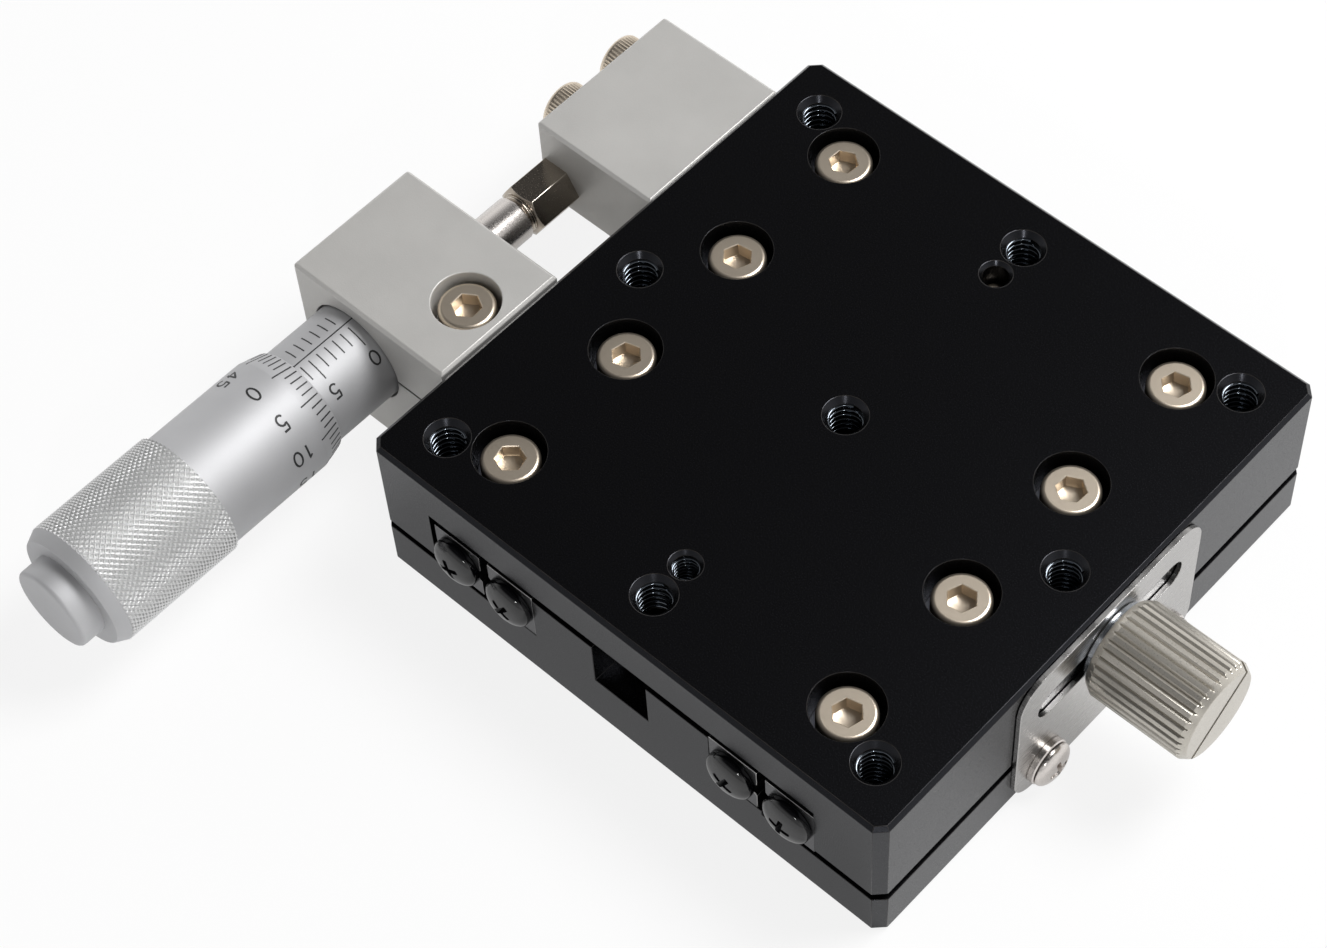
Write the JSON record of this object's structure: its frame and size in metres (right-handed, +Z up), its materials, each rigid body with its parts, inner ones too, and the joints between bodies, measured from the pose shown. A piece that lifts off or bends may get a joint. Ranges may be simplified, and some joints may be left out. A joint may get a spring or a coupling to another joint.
{
  "type": "manual linear stage",
  "caption": "Low square linear stage on crossed-roller guides, moved by a micrometer head at its side and locked by a knurled knob.",
  "frame": {"origin": "centre of the base plate's underside, with the table at the middle of its travel", "axes": "+Y along the travel, +X towards the clamp knob, +Z up through the table"},
  "size_m": [0.0922, 0.0894, 0.018],
  "materials": {
    "black_anodised": "satin black anodised",
    "rail_steel": "ground bearing steel",
    "cage_metal": "plain sheet",
    "black_screws": "black oxide",
    "bright_screws": "warm nickel",
    "pale_blocks": "fine satin",
    "satin_chrome": "satin chrome",
    "sheet_steel": "bright rolled",
    "knob_metal": "turned and knurled",
    "spring_wire": "drawn wire"
  },
  "bodies": {
    "base": {"base_plate": "black_anodised", "inner_rail_left": "rail_steel", "inner_rail_right": "rail_steel", "base_rail_screws": "bright_screws", "inner_rail_end_screws": "black_screws", "micrometer_bracket": "pale_blocks", "bracket_mount_screws": "bright_screws", "bracket_clamp_screw": "bright_screws", "micrometer_body": "satin_chrome", "graduated_sleeve": "satin_chrome", "adjusting_nut": "satin_chrome", "clamp_plate": "sheet_steel", "clamp_plate_screws": "bright_screws", "spring_post_base": "bright_screws", "return_spring": "spring_wire"},
    "table": {"table_plate": "black_anodised", "outer_rail_left": "rail_steel", "outer_rail_right": "rail_steel", "table_rail_screws": "bright_screws", "outer_rail_end_screws": "black_screws", "preload_screws": "black_screws", "anvil_block": "pale_blocks", "anvil_block_screws": "bright_screws", "anvil_bolt": "bright_screws", "spring_post_table": "bright_screws"},
    "left_cage": {"left_cage_strip": "cage_metal", "left_rollers": "rail_steel"},
    "right_cage": {"right_cage_strip": "cage_metal", "right_rollers": "rail_steel"},
    "spindle": {"spindle": "satin_chrome"},
    "thimble": {"thimble": "satin_chrome", "drive_screw": "satin_chrome", "thimble_cap": "satin_chrome"},
    "clamp_slider": {"clamp_washer": "bright_screws"},
    "clamp_knob": {"clamp_knob": "knob_metal", "clamp_stud": "bright_screws"}
  },
  "joints": [
    {"name": "table_slide", "type": "slide", "parent": "base", "child": "table", "axis": [0, 1, 0], "range_m": [-0.0065, 0.0065], "deforming": ["return_spring"]},
    {"name": "left_cage_roll", "type": "slide", "parent": "base", "child": "left_cage", "axis": [0, 1, 0], "range_m": [-0.00325, 0.00325]},
    {"name": "right_cage_roll", "type": "slide", "parent": "base", "child": "right_cage", "axis": [0, 1, 0], "range_m": [-0.00325, 0.00325]},
    {"name": "spindle_slide", "type": "slide", "parent": "base", "child": "spindle", "axis": [0, 1, 0], "range_m": [-0.0065, 0.0065]},
    {"name": "thimble_turn", "type": "hinge", "parent": "spindle", "child": "thimble", "pos_m": [-0.0426, 0, 0.0104], "axis": [0, 1, 0], "range_deg": [-4680, 4680]},
    {"name": "clamp_slide", "type": "slide", "parent": "table", "child": "clamp_slider", "axis": [1, 0, 0], "range_m": [0, 0.0005]},
    {"name": "clamp_turn", "type": "hinge", "parent": "clamp_slider", "child": "clamp_knob", "pos_m": [0.03, 0, 0.0127], "axis": [1, 0, 0], "range_deg": [0, 360]}
  ],
  "couplings": [
    {"joint": "spindle_slide", "follows": "table_slide", "ratio": 1},
    {"joint": "left_cage_roll", "follows": "table_slide", "ratio": 0.5},
    {"joint": "right_cage_roll", "follows": "table_slide", "ratio": 0.5},
    {"joint": "thimble_turn", "follows": "table_slide", "rad_per_m": 12566},
    {"joint": "clamp_turn", "follows": "clamp_slide", "rad_per_m": 12566}
  ]
}
